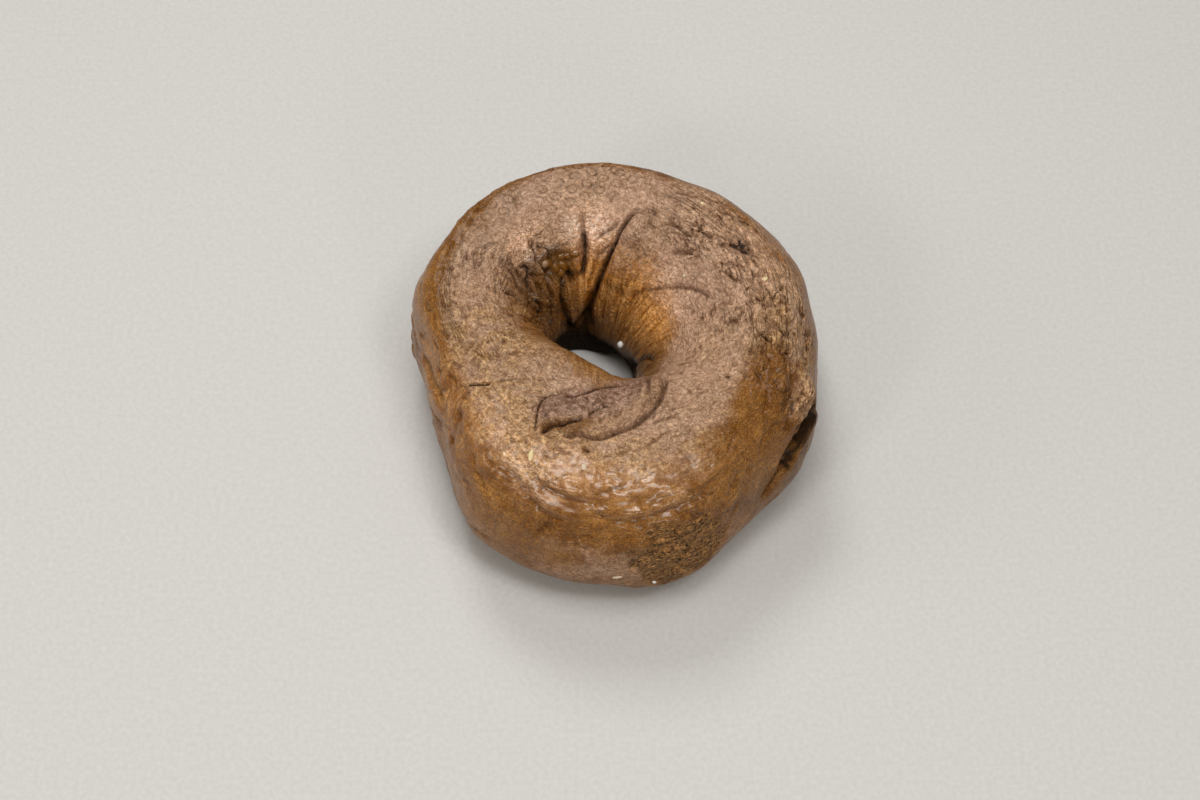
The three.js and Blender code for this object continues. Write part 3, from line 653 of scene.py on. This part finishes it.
def carve(skin):
    """Folds, spots, lumps, wrinkles and the torn patch, as rise along the normal in mm."""
    plain = skin["plain"]
    rise = skin["rise"]
    for pitch, height in LUMPS:
        rise += height * slow_waves(plain, pitch)
    for fold in FOLDS + WRINKLES:
        fold_into(skin, fold)
    for spot in SPOTS:
        distance = np.linalg.norm(plain - on_ring(spot.place)[0], axis=1)
        rise += spot.rise * np.exp(-(distance / spot.reach) ** 2)
        near = np.flatnonzero(distance < 3 * spot.reach + 1)
        shade = spot.dark * np.clip(2.2 - distance[near] / spot.reach, 0, 1)
        darken(skin, near, shade, 0.8 * distance[near] / spot.reach)

    rim = patch(skin, CRATER_PLACE, CRATER_HALVES + CRATER_RIM_REACH, 0.3)
    rise += CRATER_RIM * rim - CRATER_DEPTH * skin["crater"]

    # Two fields that bend the patterns below, so that none of them runs straight.
    bend = np.stack([lattice_noise(plain, 6, seed) for seed in (5, 6, 7)], -1)
    fine_bend = np.stack([lattice_noise(plain, 1.6, seed) for seed in (15, 16, 17)], -1)
    flow = flow_places(skin)

    # Winding wrinkles all over the pressed top.
    warped = plain + 1.6 * bend + 0.35 * fine_bend
    skin["worm"] = lattice_noise(warped, 2.7, 1) / WINDING_WIDTH
    top = 0.3 + 0.7 * skin["pressed"]
    rise += top * (0.12 * lattice_noise(warped, 2.9, 3) - 0.12 * np.exp(-skin["worm"] ** 2)
                   - 0.06 * winding_lines(warped, 1.5, 0.25, 2))

    # Deeper creases that run with the ring where the dough wrinkled as it bent.
    slanted = flow * [0.3, 0.3, 1.0] + 1.3 * bend + 0.3 * fine_bend
    skin["furrow"] = lattice_noise(slanted, 2.1, 8) / CREASE_WIDTH
    rise += skin["wrinkled"] * (0.26 * lattice_noise(slanted, 1.9, 9)
                                - 0.26 * np.exp(-skin["furrow"] ** 2))

    # Crumpled folds down the wall of the hole.
    streaks = flow * [1.0, 1.0, 0.5] + 2.4 * bend + 0.4 * fine_bend
    skin["crumple"] = lattice_noise(streaks, 3.4, 22) / CREASE_WIDTH
    rise += skin["hole_wall"] * 0.12 * lattice_noise(streaks, 2.6, 21)
    rise += skin["crumpled"] * (0.9 * lattice_noise(streaks, 3.6, 23)
                                + 0.6 * lattice_noise(streaks, 1.7, 24)
                                - 0.6 * np.exp(-skin["crumple"] ** 2))

    # Low ridges along the front's shoulder.
    stretched = flow * [0.2, 0.2, 1.0] + 0.8 * bend
    rise += skin["streaked"] * (0.3 * lattice_noise(stretched, 2.4, 27)
                                - 0.3 * winding_lines(stretched, 2.0, 0.2, 28))

    # The lumpy hollow that the beads lie in, and the open crumb where the skin is torn away.
    rise += skin["crater"] * 0.5 * lattice_noise(plain, 1.7, 41)
    shreds = flow * [0.6, 0.6, 1.0] + 1.2 * bend + 0.5 * fine_bend
    crumb = 0.5 * lattice_noise(shreds, 2.0, 51) + 0.6 * lattice_noise(shreds, 1.3, 52)
    rise += skin["torn"] * (TORN_RELIEF * crumb - TORN_DEPTH)


def skin_points(skin):
    """The finished skin in metres, resting on Z 0 and centred on the origin."""
    clear = smooth(0, PLAIN_FOOT_HEIGHT, skin["plain"][:, 2])[:, None]
    points = skin["plain"] + clear * (skin["normal"] * skin["rise"][:, None] + skin["shift"])
    points[:, 2] = np.maximum(soft_ceiling(points[:, 2], RELIEF_CEILING, RELIEF_SOFTNESS), 0)
    points[:, :2] -= RING_MIDDLE
    return points * MM


def closed_faces(ring_steps, section_steps):
    """Four-cornered faces of a grid that wraps both ways, facing outwards."""
    ring, section = np.meshgrid(np.arange(ring_steps), np.arange(section_steps), indexing="ij")
    onward = (ring + 1) % ring_steps
    upward = (section + 1) % section_steps
    corners = [ring * section_steps + section, onward * section_steps + section,
               onward * section_steps + upward, ring * section_steps + upward]
    return np.stack([c.ravel() for c in corners], -1)


def new_piece(name, points, faces, material):
    """A smooth-shaded mesh object from arrays of points (metres) and faces (corner numbers)."""
    mesh = bpy.data.meshes.new(name)
    mesh.vertices.add(len(points))
    mesh.vertices.foreach_set("co", np.ascontiguousarray(points, np.float32).ravel())
    mesh.loops.add(faces.size)
    mesh.loops.foreach_set("vertex_index", faces.astype(np.int32).ravel())
    mesh.polygons.add(len(faces))
    starts = np.arange(0, faces.size, faces.shape[1], dtype=np.int32)
    mesh.polygons.foreach_set("loop_start", starts)
    mesh.update(calc_edges=True)
    mesh.validate()
    mesh.shade_smooth()
    mesh.materials.append(material)
    piece = bpy.data.objects.new(name, mesh)
    bpy.context.scene.collection.objects.link(piece)
    return piece


def store(piece, name, values):
    """Keeps a number, or a vector of three, at each point of a piece for its material."""
    kind = "FLOAT_VECTOR" if values.ndim == 2 else "FLOAT"
    field = "vector" if values.ndim == 2 else "value"
    attribute = piece.data.attributes.new(name, kind, "POINT")
    attribute.data.foreach_set(field, np.ascontiguousarray(values, np.float32).ravel())


# ---- Materials ---------------------------------------------------------------------

class Link:
    """A node's output.  Arithmetic on it adds Math nodes."""

    def __init__(self, paint, socket):
        self.paint = paint
        self.socket = socket

    def _with(self, operation, *values):
        return self.paint.node("ShaderNodeMath", {"operation": operation}, dict(enumerate(values)))

    def __add__(self, other):
        return self._with("ADD", self, other)

    def __sub__(self, other):
        return self._with("SUBTRACT", self, other)

    def __rsub__(self, other):
        return self._with("SUBTRACT", other, self)

    def __mul__(self, other):
        return self._with("MULTIPLY", self, other)

    def __pow__(self, other):
        return self._with("POWER", self, other)

    def __abs__(self):
        return self._with("ABSOLUTE", self)

    def floor(self):
        return self._with("FLOOR", self)

    __radd__ = __add__
    __rmul__ = __mul__


class Paint:
    """A material and the nodes that make it."""

    def __init__(self, name):
        self.material = bpy.data.materials.new(name)
        self.material.use_nodes = True
        self.tree = self.material.node_tree
        self.tree.nodes.clear()
        self.shader = self.tree.nodes.new("ShaderNodeBsdfPrincipled")
        output = self.tree.nodes.new("ShaderNodeOutputMaterial")
        self.tree.links.new(self.shader.outputs[0], output.inputs[0])

    def put(self, socket, value):
        """Links or sets one input."""
        if isinstance(value, Link):
            self.tree.links.new(value.socket, socket)
        else:
            socket.default_value = value

    def node(self, kind, settings=None, inputs=None, output=0):
        """Adds a node: its settings first, then its inputs by name or number."""
        made = self.tree.nodes.new(kind)
        for key, value in (settings or {}).items():
            setattr(made, key, value)
        for key, value in (inputs or {}).items():
            self.put(made.inputs[key], value)
        return Link(self, made.outputs[output])

    def finish(self, **sockets):
        """Sets the shader's own inputs; underscores stand for spaces."""
        for key, value in sockets.items():
            self.put(self.shader.inputs[key.replace("_", " ")], value)
        return self.material

    def mask(self, name, output="Fac"):
        """A number kept at each point, or a vector with output "Vector"."""
        return self.node("ShaderNodeAttribute", {"attribute_name": name}, output=output)

    def place(self):
        """Object coordinates in mm."""
        where = self.node("ShaderNodeTexCoord", output="Object")
        return self.vector("SCALE", where, Scale=1 / MM)

    def vector(self, operation, first, second=None, output=0, **named):
        """Vector Math on one or two vectors."""
        inputs = {0: first}
        if second is not None:
            inputs[1] = second
        inputs.update(named)
        return self.node("ShaderNodeVectorMath", {"operation": operation}, inputs, output)

    def noise(self, where, pitch, detail=2.0, roughness=0.5, distortion=0.0):
        """Noise with features about pitch mm apart, around 0.5."""
        return self.node("ShaderNodeTexNoise", {}, {
            "Vector": where, "Scale": 1 / pitch, "Detail": detail, "Roughness": roughness,
            "Distortion": distortion}, "Fac")

    def between(self, value, low, high, start=0.0, end=1.0):
        """Smoothly from start at low to end at high."""
        return self.node("ShaderNodeMapRange", {"interpolation_type": "SMOOTHSTEP"}, {
            "Value": value, "From Min": low, "From Max": high, "To Min": start, "To Max": end})

    def cell_edge(self, where, pitch):
        """How far a place is from the nearest edge between uneven cells, in cell sizes."""
        return self.node("ShaderNodeTexVoronoi", {"feature": "DISTANCE_TO_EDGE"}, {
            "Vector": where, "Scale": 1 / pitch}, "Distance")

    def swirl(self, where, pitch, reach, detail=0.0):
        """A place moved about by up to half the reach, in mm, by noise."""
        push = self.node("ShaderNodeTexNoise", {}, {
            "Vector": where, "Scale": 1 / pitch, "Detail": detail}, "Color")
        centred = self.vector("SUBTRACT", push, (0.5, 0.5, 0.5))
        return self.vector("ADD", where, self.vector("SCALE", centred, Scale=reach))

    def thin_lines(self, value, width):
        """1 where a noise crosses a half, falling to 0 by the width."""
        return 1 - self.between(abs(value - 0.5), 0.0, width)

    def blend(self, share, first, second, how="MIX"):
        """Colour mix: first at share 0, second at share 1."""
        return self.node("ShaderNodeMix", {"data_type": "RGBA", "blend_type": how}, {
            "Factor": share, 6: first, 7: second}, 2)

    def cover(self, colour, *layers):
        """A colour under layers of others, each a share and its colour."""
        for share, layer in layers:
            colour = self.blend(share, colour, layer)
        return colour

    def bump(self, height, depth):
        """A bump of that depth in mm."""
        return self.node("ShaderNodeBump", {}, {
            "Height": height, "Distance": depth * MM, "Strength": 1.0})


def tone(red, green, blue):
    """A colour from screen values 0 to 255, made linear."""
    values = np.array([red, green, blue]) / 255
    linear = np.where(values <= 0.04045, values / 12.92, ((values + 0.055) / 1.055) ** 2.4)
    return (*linear.tolist(), 1.0)


# Pairs of colours, darker and lighter, that a pattern runs between.
CARAMEL = tone(116, 67, 6), tone(168, 114, 50)
DEEP_AMBER = tone(126, 74, 16), tone(186, 134, 76)
DUSTY = tone(159, 119, 92), tone(217, 179, 151)
ROSY = tone(194, 156, 130), tone(200, 162, 128)
TAN = tone(154, 110, 66), tone(222, 178, 130)
LEAF = tone(98, 66, 50), tone(168, 132, 116)
# The bead hollow's own brown, darkened towards painted shade in the recess.
HOLLOW_BROWN_AND_SHADE = tone(58, 30, 4), tone(140, 94, 40)
SHREDS = tone(62, 32, 8), tone(192, 136, 80)

# Whitish colour painted as sheen.
SHEEN_WHITE = tone(222, 206, 192)
LEAF_RIDGE = tone(168, 128, 90)
OCHRE = tone(116, 72, 18)
CELL_WALL = tone(176, 132, 82)
# Near black painted as shade in the torn crumb's pores.
CRUMB_PORE_SHADE = tone(34, 14, 2)
CRUMB_FLECK = tone(206, 158, 102)
PRINT_BROWN = tone(92, 62, 40)
PALE_FLECK = tone(228, 198, 158)
DARK_FLECK = tone(76, 37, 0)
# Pale colour painted as glints along thin ridges.
RIDGE_GLINT = tone(230, 194, 160)
# Painted shade down the thin wrinkle valleys and carved grooves.
VALLEY_SHADE_BROWN = tone(78, 37, 0)
# Painted shade for creases, folds and spots: soft to the sides, near black at the core.
CREASE_SHADE_BROWN = tone(84, 43, 2)
CREASE_SHADOW_CORE = tone(40, 20, 4)
# Near black painted as the shade inside the side gap.
GAP_SHADE = tone(26, 12, 4)
# Near black painted as the shade under the throat.
UNDERSIDE_SHADE = tone(13, 7, 3)
SCORCHED = tone(48, 34, 34)

# Two steps from print to print, and the middle of one of them, in mm.
PRINT_STEPS = ((4.15, 1.73), (0.83, 3.82))
PRINT_START = (-19.84, 35.35)
PRINT_RADIUS = 1.35
PRINT_FLATTENING = 1.25


def print_rings(paint, where):
    """The prints of a perforated tray: 1 on each one's rim, and 1 inside it.

    A place is written as so many of each step from the first print.  Without the whole
    steps, what is left is the way to it from the middle of the nearest print.
    """
    to_steps = np.linalg.inv(np.array(PRINT_STEPS).T)
    from_start = paint.vector("SUBTRACT", where, (*PRINT_START, 0))
    left = []
    for row in to_steps:
        steps = paint.vector("DOT_PRODUCT", from_start, (*row.tolist(), 0), output="Value")
        left.append(steps - (steps + 0.5).floor())
    across, along = (left[0] * PRINT_STEPS[0][i] + left[1] * PRINT_STEPS[1][i] for i in (0, 1))
    distance = (across * across + along * along * PRINT_FLATTENING) ** 0.5
    off_rim = abs(distance - PRINT_RADIUS)
    return 1 - paint.between(off_rim, 0.08, 0.36), 1 - paint.between(distance, 1.0, 1.4)


def crust_paint():
    """The crust: dusty pinkish tan where it was pressed, glossy caramel on the sides and
    in the hole, with painted shade in its creases, purple-brown on the tucked leaf."""
    paint = Paint("baked crust")
    between, blend, mask, noise, swirl = (
        paint.between, paint.blend, paint.mask, paint.noise, paint.swirl)
    torn, wrinkled, crumpled, under, gap, streaked = map(
        mask, ("torn", "wrinkled", "crumpled", "under", "gap", "streaked"))
    where = paint.place()
    flow = mask("flow", "Vector")

    def stretched(around, down):
        """The flow places, scaled round the ring and down its section."""
        return paint.vector("MULTIPLY", flow, (around, around, down))

    def fade(value, low, high):
        """Smoothly from 1 at low to 0 at high."""
        return between(value, low, high, 1.0, 0.0)

    def sway(pattern, strength):
        """A pattern around 0 instead of a half, times strength."""
        return (pattern - 0.5) * strength

    # Patterns on the place itself, broad to fine, then those that run with the dough.
    broad = noise(where, 14, 3, 0.55)
    middling = noise(where, 4.2, 3, 0.6)
    mottle = noise(where, 1.15, 3, 0.6, 0.6)
    grain = noise(where, 0.5, 2, 0.6)
    worms = noise(swirl(where, 2.6, 4.0, 2.0), 1.7, 1, 0.5)
    pores = paint.cell_edge(swirl(where, 1.5, 1.6, 1.0), 1.25)
    streaks = noise(swirl(stretched(1.0, 0.32), 3.5, 5.0, 2.0), 1.8, 3, 0.62)
    furrow_way = swirl(stretched(0.28, 1.0), 3.0, 3.0, 2.0)
    furrows = noise(furrow_way, 1.5, 2, 0.6)
    leather = paint.cell_edge(furrow_way, 1.5)
    shoulder = noise(stretched(0.16, 1.0), 1.7, 2, 0.5)
    torn_cells = paint.cell_edge(swirl(stretched(0.6, 1.0), 1.2, 1.5, 1.0), 1.0)
    shreds = noise(swirl(stretched(0.6, 1.0), 2.0, 1.6, 1.0), 0.8, 2, 0.65)

    # Thin lines, each 1 along its middle: painted glints along the ridges, painted shade along the
    # rest.
    broken = between(middling, 0.38, 0.56)
    leather_lines = fade(leather + sway(grain, 0.1), 0.0, 0.13) * broken
    pore_lines = fade(pores + sway(grain, 0.1), 0.0, 0.14) * (1 - broken)
    worm_lines = paint.thin_lines(worms, 0.03)
    furrow_lines = paint.thin_lines(furrows, 0.025)
    # Painted glints along thin winding ridges.
    ridge_glints = paint.thin_lines(noise(swirl(where, 1.7, 2.4, 1.0), 1.3, 1, 0.5), 0.05)
    worm_cut, furrow_cut, crumple_cut = (fade(abs(mask(name)) + sway(grain, 1.2), 0.3, 0.9)
                                         for name in ("worm", "furrow", "crumple"))

    # Colour: the sides, the top, the crumb of the torn patch, then each marked part.
    fine = broad * 0.35 + middling * 0.3 + mottle * 0.15 + grain * 0.2
    side = blend(mask("amber") * 0.85, blend(between(fine, 0.38, 0.62), *CARAMEL),
                 blend(between(streaks, 0.36, 0.64), *DEEP_AMBER))
    dusty = blend(between(mottle, 0.34, 0.68), *DUSTY)
    rosy = blend(between(broad, 0.4, 0.62), *ROSY)
    tan = blend(between(mottle, 0.32, 0.68), *TAN)
    top = blend(mask("tanned") * between(middling, 0.3, 0.6), blend(0.4, dusty, rosy), tan)
    top_share = between(mask("pressed") + sway(middling, 0.9) + sway(mottle, 0.35), 0.02, 0.98)
    hollows = between(torn_cells + sway(shreds, 0.6), 0.0, 0.16)
    crumb = paint.cover(
        blend(between(shreds, 0.4, 0.6), *SHREDS),
        # Lighter cell walls with the hollows between left darker, and near black pores: painted
        # shade in the torn crumb.
        (0.55 - 0.55 * hollows, CELL_WALL),
        (fade(mottle, 0.36, 0.48) * 0.85, CRUMB_PORE_SHADE),
        (between(grain, 0.54, 0.64) * 0.7, CRUMB_FLECK))
    colour = paint.cover(
        blend(top_share, side, top),
        # Painted whitish sheen.
        (mask("frosty") * between(mottle, 0.4, 0.56) * 0.34, SHEEN_WHITE),
        (mask("leaf") * 0.75, blend(between(mottle, 0.36, 0.64), *LEAF)),
        (mask("tan") * 0.5, LEAF_RIDGE),
        (mask("ochre") * 0.8, OCHRE),
        # The bead hollow: its own brown with painted shade.
        (mask("crater") * 0.85, blend(mottle, *HOLLOW_BROWN_AND_SHADE)),
        (torn * 0.9, crumb))
    # Painted light and shade, with some of the crust's own tone, multiplied into the colour.
    colour = blend(1.0, colour, mask("lit"), "MULTIPLY")

    # Prints, flecks, painted glints on ridges, painted shade in the thin lines, the creases, the
    # gap and under the throat, and scorching.
    ring_rim, ring_floor = print_rings(paint, swirl(where, 7, 1.6))
    ring_share = mask("prints") * between(broad + sway(middling, 0.5), 0.34, 0.5)
    plainer = 1 - 0.7 * mask("prints")
    flecks = between(grain + sway(middling, 0.3), 0.64, 0.74)
    dark_flecks = fade(grain + sway(mottle, 0.15), 0.3, 0.4)
    # Painted shade along the wrinkle valleys and the carved wrinkles' grooves.
    lines = (worm_lines * (0.16 + 0.12 * top_share)
             + furrow_lines * (0.16 + 0.3 * wrinkled + 0.3 * crumpled)
             + leather_lines * (0.2 + 0.25 * wrinkled) + pore_lines * 0.24
             + worm_cut * top_share * 0.18 + furrow_cut * wrinkled * 0.26
             + crumple_cut * crumpled * 0.5)
    lines = lines * plainer * between(broad + sway(middling, 0.6), 0.38, 0.6, 0.6, 1.2)
    # Painted shade along folds, spots and strewn wrinkles: soft at the sides, near black at the
    # core.
    crease = mask("crease") * between(middling + sway(mottle, 0.4), 0.34, 0.52, 0.78, 1.0)
    ragged = abs(mask("off")) + sway(mottle, 0.8) + sway(grain, 0.9)
    shade = fade(ragged, 0.4, 1.5) * between(crease, 0.0, 0.7)
    shadow_core = fade(ragged, 0.2, 0.6) * between(crease, 0.6, 0.95)
    colour = paint.cover(
        colour,
        (ring_share * (ring_rim * 0.42 + ring_floor * 0.12), PRINT_BROWN),
        (flecks * (0.2 + 0.3 * top_share), PALE_FLECK),
        (dark_flecks * 0.26, DARK_FLECK),
        # Painted glints on the ridges.
        (ridge_glints * (0.08 + 0.26 * top_share) * plainer, RIDGE_GLINT),
        # Painted shade in the wrinkle valleys.
        (lines, VALLEY_SHADE_BROWN),
        # Painted shade in the creases, soft and at the core.
        (shade * 0.5, CREASE_SHADE_BROWN),
        (shadow_core * 0.85, CREASE_SHADOW_CORE),
        # Near black painted as the shade inside the side gap.
        (gap * 0.93, GAP_SHADE),
        # Near black painted as the shade under the throat.
        (under * 0.97, UNDERSIDE_SHADE),
        (mask("burnt") * between(mottle, 0.42, 0.58), SCORCHED))

    # Fine relief, in units of the bump's depth, calmer where the front shines.
    calm = 1 - 0.85 * streaked
    height = ((worms * (0.5 + 0.5 * top_share) + mottle * 0.4 + grain * 0.3) * calm
              + furrows * (0.3 + 1.4 * wrinkled + 1.4 * crumpled) + shoulder * streaked * 2.2
              + streaks * mask("hole_wall") * 1.6
              + between(leather, 0.0, 0.3) * (0.15 * calm + 0.3 * wrinkled)
              + shreds * torn * 1.6 - hollows * torn * 1.2
              + between(pores, 0.0, 0.3) * 0.15 * calm - lines * 0.4 - shadow_core * 0.4
              + ridge_glints * 0.3 * calm)
    rough = (0.34 - 0.08 * streaked + 0.2 * top_share * (1 - streaked)
             + sway(mottle, 0.3) * calm + 0.3 * torn + 0.7 * under + 0.5 * gap)
    coat = (1 - torn) * (1 - under) * (1 - gap) \
        * (0.2 - 0.15 * top_share + 0.85 * streaked + 0.25 * crumpled)
    return paint.finish(
        Base_Color=colour, Roughness=rough, Coat_Weight=coat,
        Normal=paint.bump(height - ring_share * ring_rim * 0.3, 0.8), Coat_Roughness=0.22,
        Specular_IOR_Level=0.25, Specular_Tint=(1.0, 0.8, 0.55, 1.0))


def ball_grid(around, down):
    """Places (turn, drop) and three-cornered faces of a closed ball: rings of so many
    steps between two poles, the drop from 0 at the top pole to pi at the bottom one."""
    turn, drop = np.meshgrid(np.arange(around) / around * TURN, np.arange(1, down) / down * np.pi)
    places = np.vstack([[[0, 0]], np.stack([turn.ravel(), drop.ravel()], -1), [[0, np.pi]]])
    ring, step = np.meshgrid(np.arange(down - 2), np.arange(around), indexing="ij")
    onward = (step + 1) % around
    here = 1 + ring * around
    below = here + around
    a, b, c, d = (x.ravel() for x in (here + step, below + step, below + onward, here + onward))
    first = np.arange(around)
    second = (first + 1) % around
    last = len(places) - 1
    under = last - around
    faces = [(0 * first, 1 + first, 1 + second), (a, b, c), (a, c, d),
             (0 * first + last, under + second, under + first)]
    return places, np.vstack([np.stack(corners, -1) for corners in faces])


CRUMB_STEPS = (28, 16)
CRUMB_UNEVENNESS = 0.16
CRUMB_PITCH = 0.8


def crumb_points(skin, place, halves, heading, lift, seed):
    """An uneven ellipsoid on the skin at a station, in metres: its half sizes across,
    along and off the skin, in mm, its heading on the skin and its middle's lift."""
    places, faces = ball_grid(*CRUMB_STEPS)
    turn, drop = places.T
    ball = np.stack([np.sin(drop) * np.cos(turn), np.sin(drop) * np.sin(turn), np.cos(drop)], -1)
    ball *= 1 + CRUMB_UNEVENNESS * lattice_noise(ball, CRUMB_PITCH, seed)[:, None]
    bearing, angle = np.radians(place)
    off = outward(bearing, angle)
    level = unit(np.cross((0, 0, 1), off))
    along = np.cos(heading) * level + np.sin(heading) * np.cross(off, level)
    across = np.cross(along, off)
    nearest = np.argmin(np.linalg.norm(skin["plain"] - plain_ring(bearing, angle), axis=1))
    middle = skin["made"][nearest] / MM + lift * off
    return (middle + (ball * halves) @ np.stack([across, along, off])) * MM, faces


def plain_paint(name, colour, roughness):
    """A quiet finish with a faint unevenness."""
    paint = Paint(name)
    uneven = paint.noise(paint.place(), 1.2, 2)
    dark = tuple(0.8 * c for c in colour[:3]) + (1.0,)
    return paint.finish(Base_Color=paint.blend(uneven, dark, colour), Roughness=roughness)


# ---- Making the pieces ---------------------------------------------------------------

skin = skin_grid()
mark_regions(skin)
carve(skin)
skin["made"] = skin_points(skin)
crust = new_piece(
    "bagel_crust", skin["made"], closed_faces(RING_STEPS, SECTION_STEPS), crust_paint())
for key in ("pressed hole_wall amber tanned wrinkled crumpled streaked torn under gap leaf tan "
            "ochre burnt crater frosty prints lit crease off worm furrow crumple").split():
    store(crust, key, skin[key])
store(crust, "flow", flow_places(skin))
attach(crust, "root")
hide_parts("bagel")

# Crumbs, flakes and beads that stick to the crust: place as (bearing, section angle), half
# sizes in mm, heading in radians, lift in mm, colour.
crumb_paints = {
    "white": plain_paint("white crumb", tone(236, 236, 230), 0.35),
    "yellow": plain_paint("yellow crumb", tone(228, 206, 156), 0.5),
    "pale": plain_paint("pale flake", tone(206, 186, 160), 0.4),
    "amber": plain_paint("amber bead", tone(122, 78, 24), 0.18),
    "milky": plain_paint("milky bead", tone(158, 122, 90), 0.2),
}
FIRST_CRUMB_SEED = 70
CRUMBS = [
    ("white_bead", (41, 176.5), (0.85, 0.85, 0.85), 0.0, 0.5, "white"),
    ("yellow_sliver", (244.1, 62.3), (0.6, 1.5, 0.4), 1.9, 0.15, "yellow"),
    ("pale_flake", (261.9, 63.7), (0.8, 0.6, 0.12), 0.3, 0.0, "pale"),
    ("bead_milky", (124.7, 138.3), (1.1, 1.2, 0.9), 0.0, -0.1, "milky"),
    ("bead_low", (118.2, 145), (1.5, 1.1, 0.9), 0.4, -0.1, "amber"),
    ("bead_foot", (116, 149), (1.0, 1.4, 0.8), 0.9, -0.1, "amber"),
    ("bead_middle", (113.6, 143.6), (1.6, 1.2, 1.0), 0.2, -0.1, "amber"),
    ("bead_upper", (113, 139.6), (1.1, 1.4, 0.8), 0.5, -0.1, "amber"),
    ("bead_right", (109.6, 139), (1.5, 1.0, 0.8), 1.2, -0.1, "amber"),
    ("bead_far_right", (106.3, 138), (1.0, 1.3, 0.7), 0.3, -0.1, "amber"),
    ("bead_left", (121.3, 140.4), (1.2, 1.0, 0.7), 0.3, -0.1, "amber"),
    ("crumb_back", (56.8, 75.4), (0.4, 0.5, 0.3), 0.4, 0.1, "yellow"),
    ("crumb_right", (17.4, 72.1), (0.7, 0.5, 0.3), 0.9, 0.1, "yellow"),
    ("crumb_wall", (31.5, 117.2), (0.45, 0.4, 0.3), 0.2, 0.1, "pale"),
    ("crumb_front", (279.2, 348.1), (0.7, 0.4, 0.3), 0.5, 0.1, "white"),
    ("curl_front", (270, 1.3), (0.35, 1.4, 0.3), 0.3, 0.1, "pale"),
]
for seed, (name, *shape, colour) in enumerate(CRUMBS, FIRST_CRUMB_SEED):
    points, faces = crumb_points(skin, *shape, seed)
    crumb = new_piece(name, points, faces, crumb_paints[colour])
    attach(crumb, "root")

# ---- Floor, light and camera -----------------------------------------------------------

FLOOR_REACH = 3
corners = [(x * FLOOR_REACH, y * FLOOR_REACH, 0) for x, y in ((-1, -1), (1, -1), (1, 1), (-1, 1))]
floor_mesh = bpy.data.meshes.new("floor")
floor_mesh.from_pydata(corners, [], [(0, 1, 2, 3)])
floor_mesh.materials.append(plain_paint("pale floor", tone(207, 206, 203), 0.7))
floor = bpy.data.objects.new("floor", floor_mesh)
bpy.context.scene.collection.objects.link(floor)

# Square lights: name, place, the point that each faces, width, watts and colour, in metres.
LIGHTS = [
    ("overhead", (0.0, -0.1, 0.95), (0, 0, 0.02), 0.4, 3.05, (1.0, 0.985, 0.965)),
    ("back window", (-0.18, 0.6, 0.85), (0, 0, 0.02), 0.35, 3.6, (1.0, 1.0, 1.0)),
    ("right sheen", (0.3, -0.27, 0.88), (0, -0.02, 0.02), 0.2, 1.75, (1.0, 0.99, 0.98)),
    ("left sheen", (-0.5, -0.6, 0.56), (0, -0.02, 0.02), 0.18, 1.2, (1.0, 0.99, 0.98)),
    ("left fill", (-0.75, -0.15, 0.4), (0, 0, 0.02), 0.3, 0.9, (1.0, 0.98, 0.95)),
    ("front fill", (0.28, -0.8, 0.42), (0, 0, 0.02), 0.14, 0.7, (1.0, 0.98, 0.95)),
]
for name, place, aim, width, watts, colour in LIGHTS:
    lamp = bpy.data.lights.new(name, "AREA")
    lamp.shape = "SQUARE"
    lamp.size = width
    lamp.energy = watts
    lamp.color = colour
    holder = bpy.data.objects.new(name, lamp)
    holder.location = place
    way = Vector(aim) - Vector(place)
    holder.rotation_euler = way.to_track_quat("-Z", "Y").to_euler()
    bpy.context.scene.collection.objects.link(holder)

WORLD_COLOUR = (1.0, 0.92, 0.82, 1.0)
WORLD_STRENGTH = 0.25
world = bpy.data.worlds.new("studio")
world.use_nodes = True
background = world.node_tree.nodes["Background"]
background.inputs["Color"].default_value = WORLD_COLOUR
background.inputs["Strength"].default_value = WORLD_STRENGTH
scene = bpy.context.scene
scene.world = world
scene.view_settings.view_transform = "Standard"

CAMERA_AIM = (-0.00347, 0.00541)
CAMERA_DISTANCE = 0.6
CAMERA_ELEVATION = np.radians(57.5)
LENS_MM = 70
SENSOR_WIDTH_MM = 36
lens = bpy.data.cameras.new("camera")
lens.lens = LENS_MM
lens.sensor_width = SENSOR_WIDTH_MM
camera = bpy.data.objects.new("camera", lens)
camera.location = (CAMERA_AIM[0], CAMERA_AIM[1] - CAMERA_DISTANCE * np.cos(CAMERA_ELEVATION),
                   CAMERA_DISTANCE * np.sin(CAMERA_ELEVATION))
camera.rotation_euler = (np.pi / 2 - CAMERA_ELEVATION, 0, 0)
scene.collection.objects.link(camera)
scene.camera = camera
